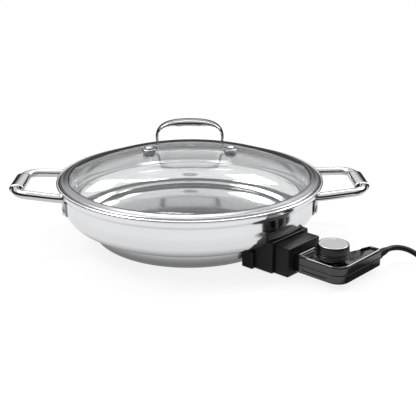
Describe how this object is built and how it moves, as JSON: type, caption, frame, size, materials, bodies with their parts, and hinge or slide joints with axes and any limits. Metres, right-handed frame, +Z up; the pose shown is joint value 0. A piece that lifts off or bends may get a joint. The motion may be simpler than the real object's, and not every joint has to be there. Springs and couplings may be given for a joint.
{
  "type": "electric skillet",
  "caption": "Round electric skillet: polished steel pan with loop handles, lift-off domed glass lid and a plug-in heat control with dial and mains cord.",
  "frame": {"origin": "middle of the base's flat underside, on the table", "axes": "+Z up, X along the two side handles, -Y towards the viewer; the plug-in control leaves the pan at 44 degrees from +X towards -Y"},
  "size_m": [0.5503, 0.3533, 0.139],
  "materials": {
    "polished_steel": "mirror-polished stainless steel",
    "satin_steel": "satin stainless steel",
    "spreader_aluminium": "as rolled",
    "element_sheath": "heat-darkened nickel alloy",
    "plated_brass": "plated",
    "ceramic": "unglazed ceramic",
    "black_phenolic": "moulded phenolic, semi gloss",
    "black_plastic": "moulded, glossy",
    "black_rubber": "flexible PVC, semi gloss",
    "dark_silicone": "matt silicone rubber",
    "clear_glass": "clear tempered glass",
    "knob_aluminium": "turned and brushed",
    "tie_fabric": "woven hook-and-loop strip"
  },
  "bodies": {
    "pan": {"pan_shell": "polished_steel", "heat_spreader": "spreader_aluminium", "heating_element": "element_sheath", "terminal_pins": "plated_brass", "pin_bushes": "ceramic", "sensor_well": "satin_steel", "base_cover": "polished_steel", "base_posts": "satin_steel", "base_screws": "satin_steel", "socket_housing": "black_phenolic", "socket_bosses": "satin_steel", "socket_screws": "satin_steel", "handle_left": "polished_steel", "handle_right": "polished_steel", "grip_left": "polished_steel", "grip_right": "polished_steel", "foot_plates_left": "polished_steel", "foot_plates_right": "polished_steel", "handle_rivets": "polished_steel"},
    "lid": {"lid_glass": "clear_glass", "lid_seal": "dark_silicone", "lid_band": "polished_steel", "lid_handle": "polished_steel", "lid_handle_pads": "dark_silicone", "lid_screws": "satin_steel", "lid_washers": "dark_silicone", "lid_nuts": "satin_steel", "steam_vent": "satin_steel"},
    "control": {"case_lower": "black_plastic", "case_upper": "black_plastic", "case_screws": "satin_steel", "contact_nose": "black_phenolic", "contact_sleeves": "plated_brass", "sensor_rod": "satin_steel", "switch_block": "ceramic", "switch_leaves": "plated_brass", "shaft_bush": "plated_brass", "strain_relief": "black_rubber", "cord_lead": "black_rubber", "cord_coil": "black_rubber", "cord_tie": "tie_fabric", "plug_body": "black_rubber", "plug_blades": "plated_brass"},
    "dial": {"dial_knob": "black_plastic", "dial_disc": "knob_aluminium", "dial_shaft": "plated_brass"}
  },
  "joints": [
    {"name": "lid_lift", "type": "slide", "parent": "pan", "child": "lid", "axis": [0, 0, 1], "range_m": [0, 0.1]},
    {"name": "control_pull", "type": "slide", "parent": "pan", "child": "control", "axis": [0.7193, -0.6947, 0], "range_m": [0, 0.115]},
    {"name": "dial_turn", "type": "hinge", "parent": "control", "child": "dial", "pos_m": [0.14444, -0.13949, 0.03], "axis": [0, 0, 1], "range_deg": [-270, 0]}
  ]
}
